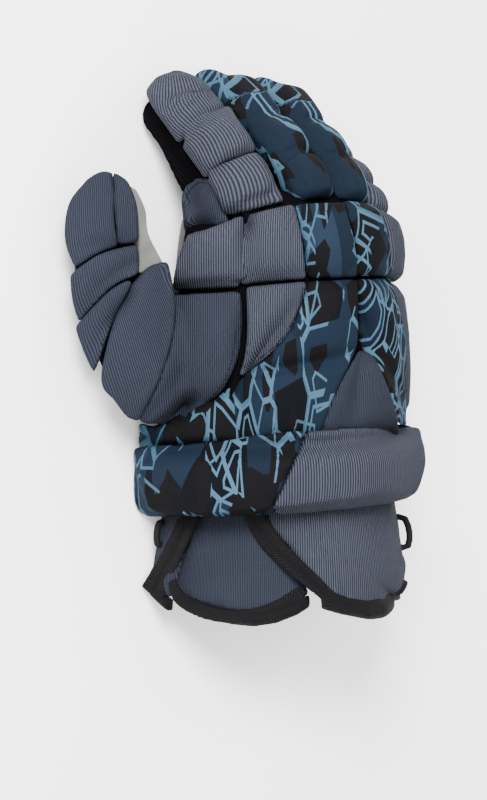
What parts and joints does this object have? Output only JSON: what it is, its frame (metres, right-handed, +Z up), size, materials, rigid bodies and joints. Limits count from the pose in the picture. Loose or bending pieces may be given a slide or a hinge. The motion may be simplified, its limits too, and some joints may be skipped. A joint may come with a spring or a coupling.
{
  "type": "lacrosse glove",
  "caption": "Padded lacrosse glove for the right hand, with segmented finger and thumb pads, a wrist band and flared cuff flaps, lying palm down.",
  "frame": {"origin": "middle of the underside of the glove's box, on the surface it lies on", "axes": "+X towards the little finger, +Y towards the fingertips, +Z up off the surface"},
  "size_m": [0.2422, 0.3174, 0.1082],
  "materials": {
    "grey_cloth": "ribbed knit",
    "print_cloth": "printed cloth",
    "black_knit": "fine knit",
    "black_webbing": "cross-ribbed webbing",
    "pale_suede": "soft suede"
  },
  "bodies": {
    "root": {"hand_shell": "black_knit", "index_sleeve": "black_knit", "middle_sleeve": "black_knit", "ring_sleeve": "black_knit", "pinky_sleeve": "black_knit", "thumb_sleeve": "black_knit", "index_pad_lower": "grey_cloth", "index_pad_upper": "grey_cloth", "index_pad_tip": "grey_cloth", "middle_pad_lower": "print_cloth", "middle_pad_upper": "print_cloth", "middle_pad_tip": "print_cloth", "ring_pad_lower": "print_cloth", "ring_pad_upper": "print_cloth", "ring_pad_tip": "print_cloth", "pinky_pad_lower": "grey_cloth", "pinky_pad_upper": "grey_cloth", "pinky_pad_tip": "grey_cloth", "index_side_tongue": "grey_cloth", "index_knuckle": "grey_cloth", "middle_knuckle": "print_cloth", "ring_knuckle": "print_cloth", "pinky_knuckle": "grey_cloth", "index_side_knuckle": "grey_cloth", "index_back_pad": "grey_cloth", "web_pad": "grey_cloth", "middle_back_pad": "print_cloth", "ring_back_pad": "print_cloth", "pinky_back_pad": "grey_cloth", "back_side_pad": "print_cloth", "back_base_pad": "print_cloth", "back_corner_pad": "grey_cloth", "thumb_pad_base": "grey_cloth", "thumb_pad_lower": "grey_cloth", "thumb_pad_upper": "grey_cloth", "thumb_pad_tip": "grey_cloth", "index_leather": "pale_suede", "middle_leather": "pale_suede", "ring_leather": "pale_suede", "pinky_leather": "pale_suede", "palm_leather": "pale_suede", "thumb_leather": "pale_suede", "band_print": "print_cloth", "band_grey": "grey_cloth", "cuff_flap_side": "grey_cloth", "cuff_flap_centre": "grey_cloth", "cuff_flap_outer": "grey_cloth", "binding_side": "black_webbing", "binding_centre": "black_webbing", "binding_outer": "black_webbing", "binding_side_edge": "black_webbing", "binding_outer_edge": "black_webbing", "thumb_web": "pale_suede", "lace_loop_outer": "black_webbing", "lace_loop_side": "black_webbing", "band_tab": "black_webbing"}
  },
  "joints": []
}
